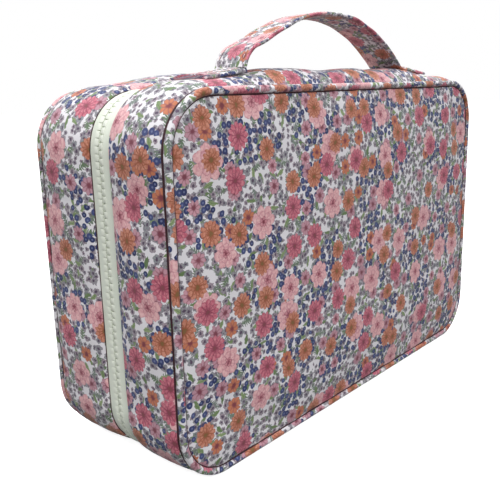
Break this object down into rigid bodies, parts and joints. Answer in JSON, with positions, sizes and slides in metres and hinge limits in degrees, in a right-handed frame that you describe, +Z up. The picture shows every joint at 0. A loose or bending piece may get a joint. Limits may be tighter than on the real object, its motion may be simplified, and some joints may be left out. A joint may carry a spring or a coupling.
{
  "type": "makeup bag",
  "caption": "Padded fabric makeup bag in two hinged halves, with piped panels, a zipper round three sides with sliders and pulls, and a strap handle on top.",
  "frame": {"origin": "middle of the bag's footprint, on the surface it stands on", "axes": "+X along the width, towards the hinge side; +Y towards the back panel, so the front panel faces -Y; +Z up"},
  "size_m": [0.283, 0.097, 0.2175],
  "materials": {
    "print": "matt woven cotton with a small floral print",
    "lining": "plain matt woven lining",
    "foam": "matt foam and interfacing",
    "zip_tape": "fine woven tape",
    "zip_plastic": "satin moulded plastic",
    "thread": "twisted sewing thread"
  },
  "bodies": {
    "back_half": {"back_panel": "print", "back_panel_foam": "foam", "back_panel_lining": "lining", "back_piping": "print", "back_wall": "print", "back_wall_foam": "foam", "back_wall_lining": "lining", "back_seam_binding": "lining", "back_zip_tape": "zip_tape", "back_zip_binding": "lining", "back_zip_teeth": "zip_plastic", "back_zip_stops": "zip_plastic", "back_hinge_flap": "print", "pocket_panel": "lining", "pocket_elastic": "zip_tape"},
    "front_half": {"front_panel": "print", "front_panel_foam": "foam", "front_panel_lining": "lining", "front_piping": "print", "front_wall": "print", "front_wall_foam": "foam", "front_wall_lining": "lining", "front_seam_binding": "lining", "front_zip_tape": "zip_tape", "front_zip_binding": "lining", "front_zip_teeth": "zip_plastic", "front_zip_stops": "zip_plastic", "front_hinge_flap": "print", "handle_tab_left": "print", "handle_tab_right": "print", "handle_stitching": "thread"},
    "handle": {"handle_strap": "print", "handle_core": "foam"},
    "slider_left": {"slider_left": "zip_plastic"},
    "slider_right": {"slider_right": "zip_plastic"},
    "pull_left": {"pull_left": "zip_plastic"},
    "pull_right": {"pull_right": "zip_plastic"}
  },
  "joints": [
    {"name": "front_opening", "type": "hinge", "parent": "back_half", "child": "front_half", "pos_m": [0.144, -0.0024, 0.09], "axis": [0, 0, 1], "range_deg": [0, 170]},
    {"name": "handle_sway", "type": "hinge", "parent": "front_half", "child": "handle", "pos_m": [0, -0.0247, 0.1815], "axis": [1, 0, 0], "range_deg": [-15, 15], "stiffness_Nm_per_rad": 0.05},
    {"name": "slider_left_travel", "type": "slide", "parent": "back_half", "child": "slider_left", "axis": [-1, 0, 0], "range_m": [0, 0.095]},
    {"name": "slider_right_travel", "type": "slide", "parent": "back_half", "child": "slider_right", "axis": [1, 0, 0], "range_m": [0, 0.095]},
    {"name": "pull_left_lift", "type": "hinge", "parent": "slider_left", "child": "pull_left", "pos_m": [-0.009, -0.0024, 0.1833], "axis": [0, 1, 0], "range_deg": [0, 100]},
    {"name": "pull_right_lift", "type": "hinge", "parent": "slider_right", "child": "pull_right", "pos_m": [0.009, -0.0024, 0.1833], "axis": [0, -1, 0], "range_deg": [0, 100]}
  ]
}
